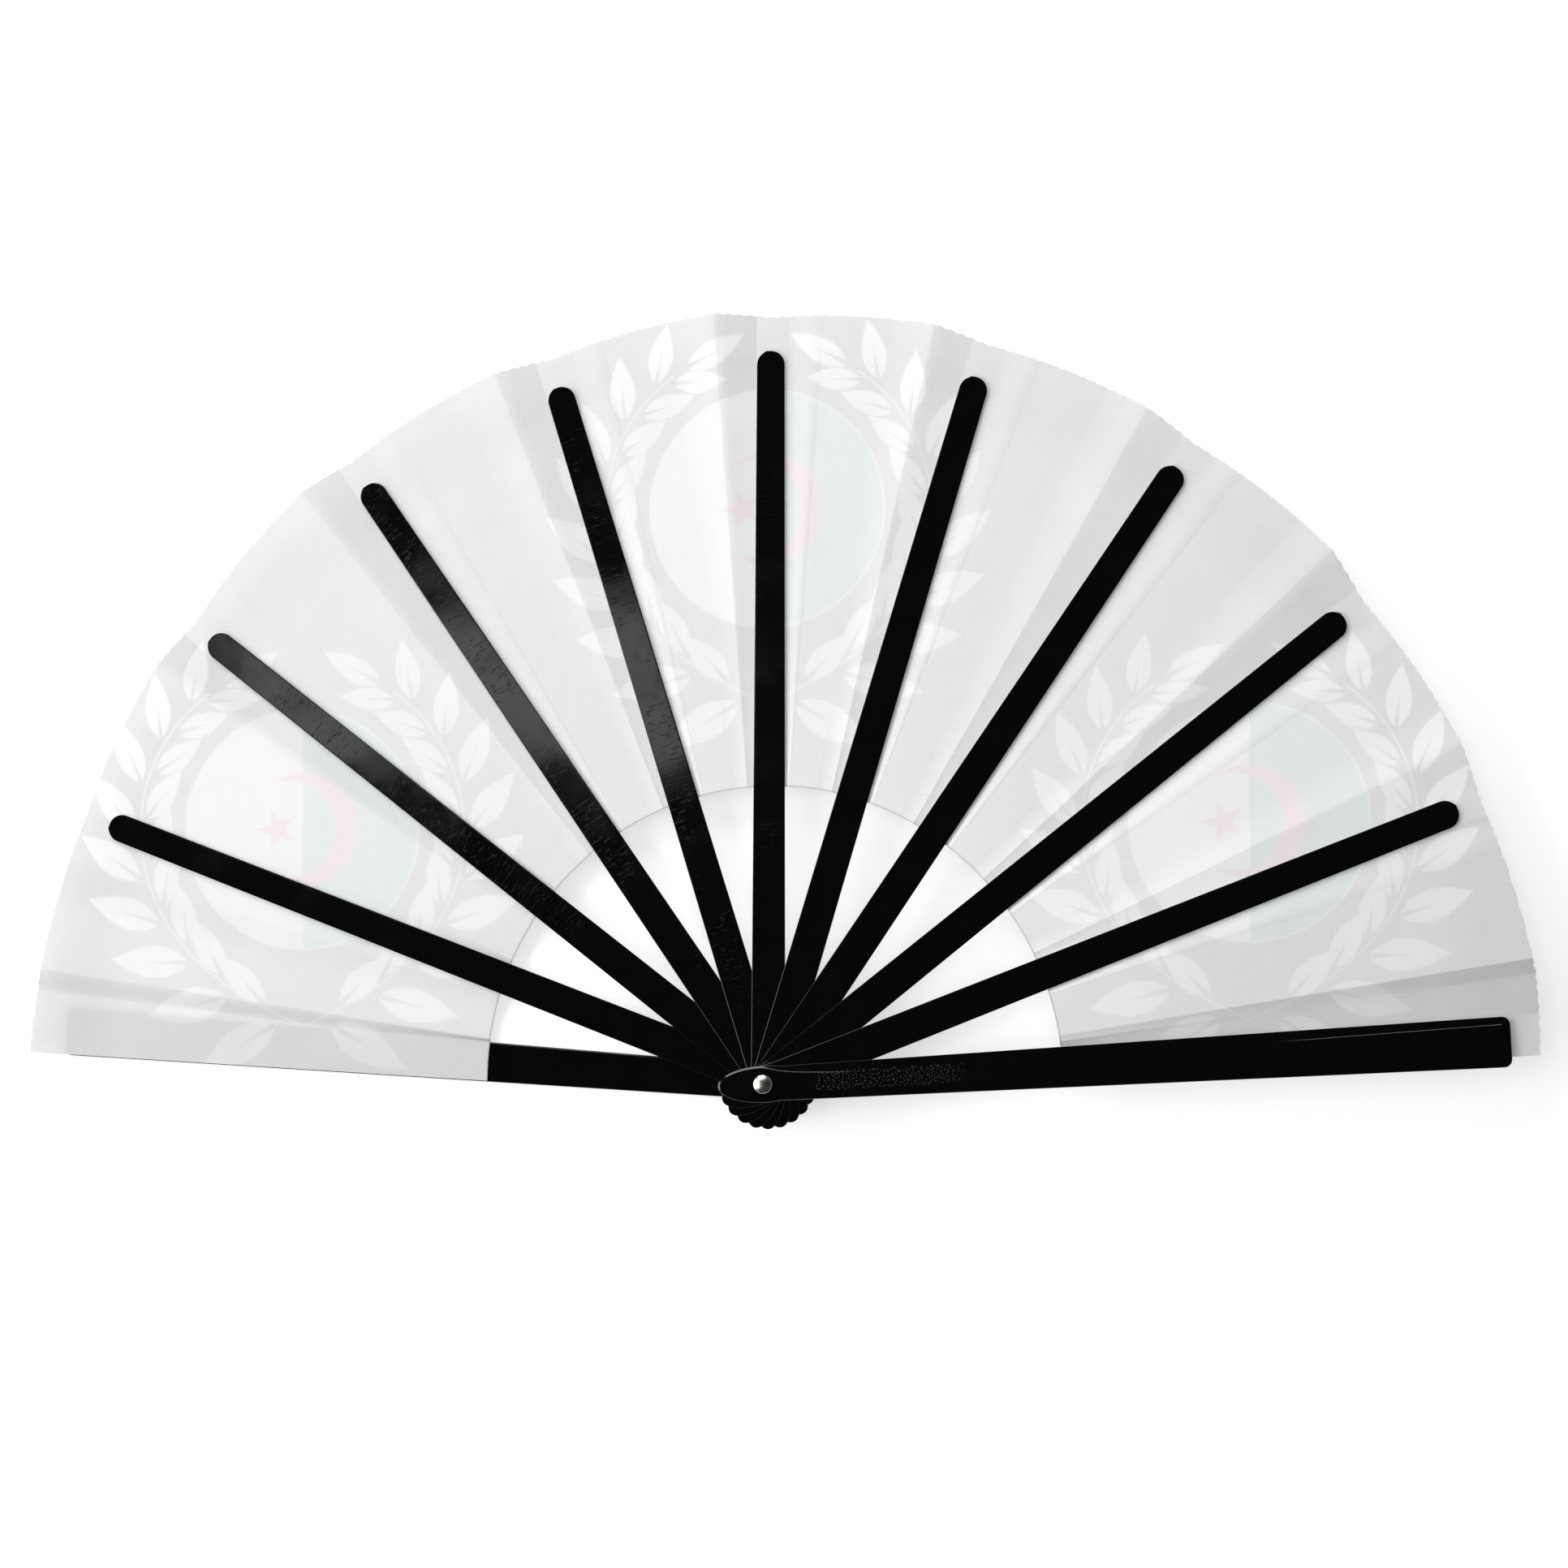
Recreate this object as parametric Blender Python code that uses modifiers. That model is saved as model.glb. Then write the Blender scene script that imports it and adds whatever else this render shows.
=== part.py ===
"""Folding fan with black plastic sticks and a pale cloth leaf, lying open and seen from its back.

Metres, +Z up. The pivot's axis is Z through the origin, the fan rests on z = 0, and each stick above the
rear guard lies one stack pitch higher than the one before it. Angles are in degrees, clockwise from +Y.
"""

import math

import bmesh
import bpy
from mathutils import Matrix

MM = 0.001

# Angles of the opened sticks
REAR_GUARD_ANGLE = -86.0
RIB_ANGLES = (-69.0, -52.0, -34.4, -17.1, 0.2, 16.7, 34.0, 51.3, 68.5)
FRONT_GUARD_ANGLE = 86.6

# Sticks, measured from the pivot
STICK_LENGTH = 311 * MM
HEAD_LENGTH = 19.3 * MM
HEAD_WIDTH = 15.4 * MM
RIB_WIDTH_AT_PIVOT = 14.5 * MM
RIB_WIDTH_AT_TIP = 11.8 * MM
RIB_THICKNESS = 1.2 * MM
RIB_EDGE = 0.25 * MM
GUARD_WIDTH_AT_PIVOT = 14.3 * MM
GUARD_WIDTH_AT_TIP = 21.0 * MM
GUARD_THICKNESS = 3.0 * MM
GUARD_EDGE = 0.8 * MM
GUARD_CORNER_RADIUS = 3.4 * MM
HEAD_BOSS = 1.0 * MM
BOSS_FLAT_LENGTH = 34 * MM
BOSS_TAPER_LENGTH = 66 * MM

# Rivet
RIVET_SHANK_DIAMETER = 3.4 * MM
RIVET_FLAT_HEAD_DIAMETER = 8.0 * MM
RIVET_FLAT_HEAD_THICKNESS = 1.2 * MM
RIVET_CAP_DIAMETER = 8.0 * MM
RIVET_CAP_HEIGHT = 2.2 * MM
RIVET_TAIL = 1.0 * MM

# Leaf
LEAF_INNER_RADIUS = 125 * MM
LEAF_OUTER_RADIUS = 324 * MM
CLOTH_THICKNESS = 0.2 * MM
CLOTH_EDGE_INSET = 0.6 * MM
GUARD_CREASE_SHARE = 0.27
RIB_CREASE_SHARE = 0.25

# Clearance between touching meshes, and how finely curves are drawn
CLEARANCE = 0.3 * MM
CIRCLE_POINTS = 32
ARC_POINTS = 9

# Worked out from the sizes above
HOLE_DIAMETER = RIVET_SHANK_DIAMETER + 2 * CLEARANCE
STACK_PITCH = RIB_THICKNESS + 2 * CLOTH_THICKNESS + 3 * CLEARANCE
RIB_HEAD_THICKNESS = STACK_PITCH - CLEARANCE
HEAD_DROP = RIB_HEAD_THICKNESS - RIB_THICKNESS
GUARD_HEAD_THICKNESS = GUARD_THICKNESS + HEAD_BOSS
FIRST_RIB_Z = GUARD_HEAD_THICKNESS + CLEARANCE + HEAD_DROP
FRONT_GUARD_Z = FIRST_RIB_Z + len(RIB_ANGLES) * STACK_PITCH + HEAD_BOSS - HEAD_DROP
FRONT_GUARD_TOP = FRONT_GUARD_Z + GUARD_THICKNESS
GLUED_CLOTH_DROP = CLEARANCE + CLOTH_THICKNESS / 2
FOLD_RISE = RIB_THICKNESS + CLEARANCE + CLOTH_THICKNESS / 2
STICK_ANGLES = (REAR_GUARD_ANGLE, *RIB_ANGLES, FRONT_GUARD_ANGLE)
LAST_STICK = len(STICK_ANGLES) - 1


def clear_scene():
    """Removes what the open file holds."""
    for item in list(bpy.data.objects):
        bpy.data.objects.remove(item, do_unlink=True)


def new_collection(name):
    """A collection of this name, linked to the scene."""
    group = bpy.data.collections.new(name)
    bpy.context.scene.collection.children.link(group)
    return group


def new_material(name, colour, roughness, metallic=0.0):
    """A Principled material with one linear colour."""
    finish = bpy.data.materials.new(name)
    finish.use_nodes = True
    shader = finish.node_tree.nodes["Principled BSDF"]
    shader.inputs["Base Color"].default_value = (*colour, 1.0)
    shader.inputs["Roughness"].default_value = roughness
    shader.inputs["Metallic"].default_value = metallic
    return finish


def rib_half_width(radius):
    """Half the width of a rib's blade at a distance from the pivot."""
    share = radius / STICK_LENGTH
    return (RIB_WIDTH_AT_PIVOT + share * (RIB_WIDTH_AT_TIP - RIB_WIDTH_AT_PIVOT)) / 2


def guard_half_width(radius):
    """Half the width of a guard at a distance from the pivot."""
    share = radius / STICK_LENGTH
    return (GUARD_WIDTH_AT_PIVOT + share * (GUARD_WIDTH_AT_TIP - GUARD_WIDTH_AT_PIVOT)) / 2


def stick_outline(half_width, corner_radius):
    """Outline of a stick along +Y: an eye-shaped head round the pivot, a straight taper and a rounded tip."""
    side = []
    for step in range(CIRCLE_POINTS // 2 + 1):
        turn = math.pi * step / (CIRCLE_POINTS // 2)
        x, y = HEAD_WIDTH / 2 * math.sin(turn), -HEAD_LENGTH * math.cos(turn)
        if y > 0 and x < half_width(y):
            break
        side.append((x, y))
    corner_y = STICK_LENGTH - corner_radius
    tip_half_width = half_width(corner_y)
    for step in range(ARC_POINTS):
        turn = math.pi / 2 * step / (ARC_POINTS - 1)
        x = tip_half_width - corner_radius * (1 - math.cos(turn))
        side.append((x, corner_y + corner_radius * math.sin(turn)))
    if side[-1][0] < RIB_EDGE:
        side[-1] = (0.0, side[-1][1])
    left = [(-x, y) for x, y in reversed(side) if x > RIB_EDGE]
    return side + left


def circle_outline(diameter):
    """Points of a circle round the pivot."""
    turns = [2 * math.pi * step / CIRCLE_POINTS for step in range(CIRCLE_POINTS)]
    return [(diameter / 2 * math.cos(turn), diameter / 2 * math.sin(turn)) for turn in turns]


def plate_mesh(name, outlines, thickness, edge=0.0):
    """A closed flat mesh from filled 2D outlines, half its thickness on each side of z = 0."""
    curve = bpy.data.curves.new(name, "CURVE")
    curve.dimensions = "2D"
    curve.fill_mode = "BOTH"
    curve.extrude = thickness / 2 - edge
    curve.bevel_depth = edge
    curve.bevel_resolution = 0
    curve.offset = -edge
    for points in outlines:
        spline = curve.splines.new("POLY")
        spline.points.add(len(points) - 1)
        spline.use_cyclic_u = True
        for point, (x, y) in zip(spline.points, points):
            point.co = (x, y, 0.0, 1.0)
    holder = bpy.data.objects.new(name + "_curve", curve)
    bpy.context.scene.collection.objects.link(holder)
    mesh = finished_mesh(holder, name)
    bpy.data.objects.remove(holder, do_unlink=True)
    return mesh


def finished_mesh(source, name):
    """The mesh of an object with its modifiers, welded where its caps meet its walls."""
    bpy.context.view_layer.update()
    graph = bpy.context.evaluated_depsgraph_get()
    mesh = bpy.data.meshes.new_from_object(source.evaluated_get(graph))
    mesh.name = name
    shape = bmesh.new()
    shape.from_mesh(mesh)
    bmesh.ops.remove_doubles(shape, verts=shape.verts, dist=0.005 * MM)
    bmesh.ops.recalc_face_normals(shape, faces=shape.faces)
    shape.to_mesh(mesh)
    shape.free()
    return mesh


def place(name, mesh, group, finish, angle=0.0, z=0.0):
    """An object of this mesh with its origin on the pivot's axis, turned clockwise by angle."""
    item = bpy.data.objects.new(name, mesh)
    if not mesh.materials:
        mesh.materials.append(finish)
    item.location = (0.0, 0.0, z)
    item.rotation_euler = (0.0, 0.0, -math.radians(angle))
    group.objects.link(item)
    return item


def cylinder(name, diameter, bottom, top, group):
    """A closed cylinder on the pivot's axis."""
    bpy.ops.mesh.primitive_cylinder_add(
        vertices=CIRCLE_POINTS,
        radius=diameter / 2,
        depth=top - bottom,
        location=(0.0, 0.0, (top + bottom) / 2),
    )
    item = bpy.context.active_object
    item.name = name
    item.data.name = name
    for old in list(item.users_collection):
        old.objects.unlink(item)
    group.objects.link(item)
    return item


def cut(target, cutter):
    """Takes the cutter out of the target with an exact Boolean."""
    cutter.hide_render = True
    cutter.display_type = "WIRE"
    modifier = target.modifiers.new(cutter.name, "BOOLEAN")
    modifier.operation = "DIFFERENCE"
    modifier.solver = "EXACT"
    modifier.object = cutter


def relief_cutter(name, depth, total_thickness, group):
    """A wedge that thins a stick from the underside of its blank, beyond the head's boss."""
    bottom, top = -total_thickness, depth
    start, flat = BOSS_FLAT_LENGTH, BOSS_FLAT_LENGTH + BOSS_TAPER_LENGTH
    end = STICK_LENGTH + HEAD_LENGTH
    profile = [(start, 0.0), (flat, top), (end, top), (end, bottom), (start, bottom)]
    mesh = plate_mesh(name, [profile], 2 * GUARD_WIDTH_AT_TIP)
    mesh.transform(Matrix(((0, 0, 1, 0), (1, 0, 0, 0), (0, 1, 0, 0), (0, 0, 0, 1))))
    item = bpy.data.objects.new(name, mesh)
    group.objects.link(item)
    return item


def stick_mesh(name, half_width, corner_radius, thickness, boss, edge, cutters):
    """A stick with the underside of its blade at z = 0 and its boss hanging below it."""
    total = thickness + boss
    outlines = [stick_outline(half_width, corner_radius), circle_outline(HOLE_DIAMETER)]
    blank_mesh = plate_mesh(name + "_blank", outlines, total, edge)
    blank_mesh.transform(Matrix.Translation((0.0, 0.0, total / 2)))
    blank = bpy.data.objects.new(name + "_blank", blank_mesh)
    bpy.context.scene.collection.objects.link(blank)
    cut(blank, relief_cutter(name + "_relief", boss, total, cutters))
    mesh = finished_mesh(blank, name)
    bpy.data.objects.remove(blank, do_unlink=True)
    mesh.transform(Matrix.Translation((0.0, 0.0, -boss)))
    return mesh


def stick_z(index):
    """Height of the underside of a stick's blade; stick 0 is the rear guard, which lies upside down."""
    if index == LAST_STICK:
        return FRONT_GUARD_Z
    return FIRST_RIB_Z + (index - 1) * STACK_PITCH


def fold_z(index):
    """Height of the middle of the free panel between stick index and the next one."""
    if index == 0:
        return FIRST_RIB_Z + FOLD_RISE - STACK_PITCH
    return stick_z(index) + FOLD_RISE


def crease_share(index):
    """Share of the gap after stick index that lies before its first crease."""
    if index == 0:
        return GUARD_CREASE_SHARE
    if index == LAST_STICK - 1:
        return 0.5 - GUARD_CREASE_SHARE
    return RIB_CREASE_SHARE


def right_crease(index):
    """Angle from a stick to the crease after it."""
    return crease_share(index) * (STICK_ANGLES[index + 1] - STICK_ANGLES[index])


def left_crease(index):
    """Angle from a stick to the crease before it; a closed fan brings that crease over the one before."""
    return (0.5 - crease_share(index - 1)) * (STICK_ANGLES[index] - STICK_ANGLES[index - 1])


def lateral(angle, radius, inset):
    """Distance beside a centre line at which a crease passes a radius, less an inset."""
    return radius * math.sin(math.radians(angle)) - inset


def leaf_panel(name, stations, group, finish, angle, z):
    """A cloth panel fixed to a stick. stations(radius) gives its cross-section as (lateral, height) pairs."""
    columns = len(stations(LEAF_INNER_RADIUS))
    shape = bmesh.new()
    bmesh.ops.create_grid(shape, x_segments=columns - 1, y_segments=ARC_POINTS - 1, size=1.0)
    for vertex in shape.verts:
        column = round((vertex.co.x + 1) / 2 * (columns - 1))
        share = (vertex.co.y + 1) / 2
        radius = LEAF_INNER_RADIUS + share * (LEAF_OUTER_RADIUS - LEAF_INNER_RADIUS)
        x, height = stations(radius)[column]
        vertex.co = (x, math.sqrt(radius * radius - x * x), height)
    mesh = bpy.data.meshes.new(name)
    shape.to_mesh(mesh)
    shape.free()
    panel = place(name, mesh, group, finish, angle, z)
    thickness = panel.modifiers.new("cloth", "SOLIDIFY")
    thickness.thickness = CLOTH_THICKNESS
    thickness.offset = 0.0
    return panel


def rib_panel_stations(index):
    """Cross-section of the panel under a rib: flat below it, then up on its right to the free panel's level."""
    rise = fold_z(index) - stick_z(index) + GLUED_CLOTH_DROP

    def stations(radius):
        left = -lateral(left_crease(index), radius, CLEARANCE / 2)
        right = lateral(right_crease(index), radius, CLEARANCE / 2)
        return [(left, 0.0), (0.0, 0.0), (rib_half_width(radius) + CLEARANCE, 0.0), (right, rise)]

    return stations


def rear_end_stations(radius):
    """Cross-section of the leaf's end on the rear guard, which rises beside the guard to the first free panel."""
    rise = fold_z(0) - GUARD_THICKNESS - GLUED_CLOTH_DROP
    half = guard_half_width(radius)
    right = lateral(right_crease(0), radius, CLEARANCE / 2)
    return [(CLOTH_EDGE_INSET - half, 0.0), (half + CLEARANCE, 0.0), (right, rise)]


def front_end_stations(radius):
    """Cross-section of the leaf's end under the front guard."""
    left = -lateral(left_crease(LAST_STICK), radius, CLEARANCE / 2)
    return [(left, 0.0), (0.0, 0.0), (guard_half_width(radius) - CLOTH_EDGE_INSET, 0.0)]


def free_panel(index, group, finish):
    """The flat panel after stick index. Its origin and local Y lie on the crease that it folds about."""
    width = (STICK_ANGLES[index + 1] - STICK_ANGLES[index]) / 2
    outline = []
    for radius, direction in ((LEAF_INNER_RADIUS, 1), (LEAF_OUTER_RADIUS, -1)):
        inset = math.degrees(CLEARANCE / 2 / radius)
        first, last = inset, width - inset
        for step in range(ARC_POINTS)[::direction]:
            turn = math.radians(first + (last - first) * step / (ARC_POINTS - 1))
            outline.append((radius * math.sin(turn), radius * math.cos(turn)))
    name = f"leaf_fold_{index + 1}"
    mesh = plate_mesh(name, [outline], CLOTH_THICKNESS)
    return place(name, mesh, group, finish, STICK_ANGLES[index] + right_crease(index), fold_z(index))


def build_sticks(group, cutters, plastic):
    """Two guards from one moulding, the rear one turned over, and the ribs from another."""
    rib = stick_mesh(
        "rib", rib_half_width, rib_half_width(STICK_LENGTH), RIB_THICKNESS, HEAD_DROP, RIB_EDGE, cutters
    )
    guard = stick_mesh(
        "guard", guard_half_width, GUARD_CORNER_RADIUS, GUARD_THICKNESS, HEAD_BOSS, GUARD_EDGE, cutters
    )
    turned_guard = guard.copy()
    turned_guard.transform(Matrix.Rotation(math.pi, 4, "Y"))
    rear = place("rear_guard", turned_guard, group, plastic, REAR_GUARD_ANGLE, GUARD_THICKNESS)
    place("front_guard", guard, group, plastic, FRONT_GUARD_ANGLE, FRONT_GUARD_Z)
    for number, angle in enumerate(RIB_ANGLES, 1):
        place(f"rib_{number}", rib, group, plastic, angle, stick_z(number))
    return rear


def build_rivet(rear_guard, group, cutters, steel):
    """A post with a flat head let into the rear guard, and a domed cap over its far end."""
    recess_top = RIVET_FLAT_HEAD_THICKNESS + CLEARANCE
    recess_width = RIVET_FLAT_HEAD_DIAMETER + 2 * CLEARANCE
    cut(rear_guard, cylinder("rivet_recess", recess_width, -recess_top, recess_top, cutters))

    shank_top = FRONT_GUARD_TOP + RIVET_TAIL
    head_radius, shank_radius = RIVET_FLAT_HEAD_DIAMETER / 2, RIVET_SHANK_DIAMETER / 2
    post_profile = [
        (0.0, 0.0),
        (head_radius, 0.0),
        (head_radius, RIVET_FLAT_HEAD_THICKNESS),
        (shank_radius, RIVET_FLAT_HEAD_THICKNESS),
        (shank_radius, shank_top),
        (0.0, shank_top),
    ]
    turned("rivet_post", post_profile, group, steel)

    seat = FRONT_GUARD_TOP + CLEARANCE
    socket_radius, socket_top = HOLE_DIAMETER / 2, shank_top + CLEARANCE
    cap_profile = [(0.0, socket_top), (socket_radius, socket_top), (socket_radius, seat)]
    for step in range(ARC_POINTS):
        turn = math.pi / 2 * step / (ARC_POINTS - 1)
        radius = RIVET_CAP_DIAMETER / 2 * math.cos(turn)
        cap_profile.append((radius, seat + RIVET_CAP_HEIGHT * math.sin(turn)))
    turned("rivet_cap", cap_profile, group, steel)


def turned(name, profile, group, finish):
    """A solid of revolution from a profile of (radius, height) pairs, by a Screw modifier."""
    shape = bmesh.new()
    points = [shape.verts.new((radius, 0.0, height)) for radius, height in profile]
    for first, second in zip(points, points[1:]):
        shape.edges.new((first, second))
    mesh = bpy.data.meshes.new(name)
    shape.to_mesh(mesh)
    shape.free()
    item = place(name, mesh, group, finish)
    spin = item.modifiers.new("spin", "SCREW")
    spin.steps = spin.render_steps = CIRCLE_POINTS
    spin.use_merge_vertices = True
    spin.merge_threshold = 0.005 * MM
    spin.use_normal_flip = True
    return item


def build_leaf(group, cloth):
    """The cloth leaf, cut at its creases: ends on the guards, panels on the ribs, free panels between."""
    rear_z = GUARD_THICKNESS + GLUED_CLOTH_DROP
    leaf_panel("leaf_end_rear", rear_end_stations, group, cloth, REAR_GUARD_ANGLE, rear_z)
    for number, angle in enumerate(RIB_ANGLES, 1):
        glued_z = stick_z(number) - GLUED_CLOTH_DROP
        leaf_panel(f"leaf_panel_{number}", rib_panel_stations(number), group, cloth, angle, glued_z)
    front_z = FRONT_GUARD_Z - GLUED_CLOTH_DROP
    leaf_panel("leaf_end_front", front_end_stations, group, cloth, FRONT_GUARD_ANGLE, front_z)
    for index in range(LAST_STICK):
        free_panel(index, group, cloth)


def main():
    clear_scene()
    fan = new_collection("folding_fan")
    cutters = new_collection("cutters")
    plastic = new_material("black_plastic", (0.010, 0.010, 0.011), 0.28)
    steel = new_material("rivet_steel", (0.62, 0.60, 0.56), 0.25, 1.0)
    cloth = new_material("pale_cloth", (0.80, 0.80, 0.80), 0.85)
    rear_guard = build_sticks(fan, cutters, plastic)
    build_rivet(rear_guard, fan, cutters, steel)
    build_leaf(fan, cloth)


main()
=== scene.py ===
"""Folding fan, laid open on a pale table: black plastic sticks uppermost, and a cloth leaf below them.

The pivot's axis is Z through the origin, and the fan lies on z = 0. A stick's angle is in degrees, clockwise
from +Y as seen from above, and stick 0 is the rear guard, at the bottom of the stack.
"""

import math

import bmesh
import bpy
import numpy as np
from mathutils import Matrix, Vector


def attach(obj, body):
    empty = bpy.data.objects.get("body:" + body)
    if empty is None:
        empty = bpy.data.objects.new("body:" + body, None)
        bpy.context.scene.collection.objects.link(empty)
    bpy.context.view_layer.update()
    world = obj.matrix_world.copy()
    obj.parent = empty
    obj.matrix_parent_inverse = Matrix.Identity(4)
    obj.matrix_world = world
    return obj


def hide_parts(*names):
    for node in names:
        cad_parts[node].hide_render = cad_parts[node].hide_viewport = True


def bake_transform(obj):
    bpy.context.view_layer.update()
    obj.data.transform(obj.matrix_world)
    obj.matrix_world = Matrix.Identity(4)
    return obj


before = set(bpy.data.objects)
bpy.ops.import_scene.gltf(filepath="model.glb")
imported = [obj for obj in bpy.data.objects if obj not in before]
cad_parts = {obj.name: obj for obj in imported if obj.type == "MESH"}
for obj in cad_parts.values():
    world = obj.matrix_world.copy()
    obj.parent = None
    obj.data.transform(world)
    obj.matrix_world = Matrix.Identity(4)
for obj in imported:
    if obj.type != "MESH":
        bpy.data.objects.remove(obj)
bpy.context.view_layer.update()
MM = 0.001

# Camera
# It looks down on the fan from two metres up and 0.3 m right of the pivot. Place, tilt in degrees and focal
# length in pixels of the photo were fitted to the pivot, the rib tips and the guards' ends.
CAMERA_PLACE = (0.29306, 0.04223, 2.01974)
CAMERA_TILT = (2.390, 8.131, 0.014)
PICTURE_WIDTH = 1932
FOCAL_LENGTH = 5894.6
SENSOR_WIDTH = 36.0
VIEW_DEPTH = 50

camera = bpy.data.objects.new("camera", bpy.data.cameras.new("camera"))
bpy.context.scene.collection.objects.link(camera)
camera.location = CAMERA_PLACE
camera.rotation_euler = [math.radians(turn) for turn in CAMERA_TILT]
camera.data.sensor_width = SENSOR_WIDTH
camera.data.lens = SENSOR_WIDTH * FOCAL_LENGTH / PICTURE_WIDTH
camera.data.clip_end = VIEW_DEPTH
bpy.context.scene.camera = camera
bpy.context.scene.view_settings.view_transform = "Standard"

# Table and light
# A matt white table top, one broad soft lamp low on the left, weaker ones beyond the fan's top and straight
# above it, and a small window overhead that shows as the sheen on three ribs.
MATH = "Math"
TABLE_WIDTH = 8.0
TABLE_COLOUR = "#C8C8C8"
TABLE_GLOW, TABLE_FAR_GLOW = 0.58, 1.0
TABLE_GLOW_RISE = (0.7, 2.6)
LAMP_TARGET = (0.0, 0.12, 0.0)
KEY_PLACE, KEY_SIZE, KEY_POWER = (-2.40, 0.00, 1.50), (2.4, 2.6), 99
TOP_PLACE, TOP_SIZE, TOP_POWER = (-0.70, 2.00, 1.30), (1.8, 1.6), 44
FILL_PLACE, FILL_SIZE, FILL_POWER = (0.3, 0.3, 3.0), (1.6, 1.6), 24
WINDOW_PLACE, WINDOW_SIZE, WINDOW_POWER = (-0.565, 0.295, 2.0), (0.41, 0.13), 0.34
ROOM_WHITE, ROOM_WALLS, ROOM_CEILING = 1.0, 0.55, 0.03
ROOM_FADE = (0.02, 0.25)
WHITE_LIGHT = (1, 1, 1, 1)


def linear(hex_colour):
    """The linear RGBA of an sRGB hex colour, by the standard piecewise curve."""
    levels = [int(hex_colour[place : place + 2], 16) / 255 for place in (1, 3, 5)]
    return (*[c / 12.92 if c <= 0.04045 else ((c + 0.055) / 1.055) ** 2.4 for c in levels], 1.0)


def add(tree, kind, *values, sockets=None, **settings):
    """Adds a node with its settings and gives its first output.

    The kind is the node's type without its first word, ShaderNode. The values fill the node's inputs in
    order, and those in sockets go by name. A value is linked if it is an output of another node, else it
    is set, and None is passed over.
    """
    node = tree.nodes.new("ShaderNode" + kind)
    for name, setting in settings.items():
        setattr(node, name, setting)
    filled = list(zip([socket for socket in node.inputs if socket.enabled], values))
    for socket, value in filled + [(node.inputs[name], value) for name, value in (sockets or {}).items()]:
        if isinstance(value, bpy.types.NodeSocket):
            tree.links.new(value, socket)
        elif value is not None:
            socket.default_value = value
    return next((socket for socket in node.outputs if socket.enabled), None)


def new_material(name):
    """An empty node material and its node tree."""
    material = bpy.data.materials.new(name)
    material.use_nodes = True
    material.node_tree.nodes.clear()
    return material, material.node_tree


def seen_directly(tree):
    """1 for rays from the camera, a gloss or a clear piece, and 0 for rays that gather light."""
    rays = add(tree, "LightPath").node.outputs
    seen = add(tree, MATH, rays["Is Camera Ray"], rays["Is Glossy Ray"], operation="ADD")
    return add(tree, MATH, seen, rays["Is Transmission Ray"], operation="ADD", use_clamp=True)


def lamp(name, place, size, power, target=LAMP_TARGET):
    """A rectangular area lamp that faces its target."""
    light = bpy.data.lights.new(name, "AREA")
    light.shape = "RECTANGLE"
    light.size, light.size_y = size
    light.energy = power
    holder = bpy.data.objects.new(name, light)
    bpy.context.scene.collection.objects.link(holder)
    holder.location = place
    holder.rotation_euler = (Vector(target) - Vector(place)).to_track_quat("-Z", "Y").to_euler()
    return holder


lamp("key_softbox", KEY_PLACE, KEY_SIZE, KEY_POWER)
lamp("top_softbox", TOP_PLACE, TOP_SIZE, TOP_POWER)
lamp("fill_softbox", FILL_PLACE, FILL_SIZE, FILL_POWER).visible_glossy = False
lamp("window", WINDOW_PLACE, WINDOW_SIZE, WINDOW_POWER, target=(WINDOW_PLACE[0], 0.0, 0.0))

table_mesh = bpy.data.meshes.new("table_top")
corner = TABLE_WIDTH / 2
table_mesh.from_pydata(
    [(-corner, -corner, 0), (corner, -corner, 0), (corner, corner, 0), (-corner, corner, 0)],
    [],
    [(0, 1, 2, 3)],
)
table = bpy.data.objects.new("table_top", table_mesh)
bpy.context.scene.collection.objects.link(table)

# Matt laminate: it scatters the light evenly and glows faintly where the camera or a gloss sees it, so that
# it comes out white while the fan's shadow still shows on it. The glow rises with the distance in metres
# from the pivot, to make up for the lamps' light.
laminate, tree = new_material("white_laminate")
far = add(tree, "TexCoord").node.outputs["Object"]
far = add(tree, "VectorMath", far, operation="LENGTH")
glow = add(tree, "MapRange", far, *TABLE_GLOW_RISE, TABLE_GLOW, TABLE_FAR_GLOW)
glow = add(tree, MATH, seen_directly(tree), glow, operation="MULTIPLY")
glow = add(tree, "Emission", WHITE_LIGHT, glow)
matt = add(tree, "BsdfDiffuse", linear(TABLE_COLOUR), 0.0)
add(tree, "OutputMaterial", add(tree, "AddShader", matt, glow))
table_mesh.materials.append(laminate)

# The room: walls that fade to a dim ceiling. To the camera and in gloss the walls are white, as the table is.
world = bpy.data.worlds.new("room")
bpy.context.scene.world = world
world.use_nodes = True
tree = world.node_tree
tree.nodes.clear()
upward = add(tree, "SeparateXYZ", add(tree, "TexCoord")).node.outputs["Z"]
walls = add(tree, "MapRange", seen_directly(tree), 0.0, 1.0, ROOM_WALLS, ROOM_WHITE)
level = add(tree, "MapRange", upward, *ROOM_FADE, walls, ROOM_CEILING)
add(tree, "OutputWorld", add(tree, "Background", WHITE_LIGHT, level))

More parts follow.
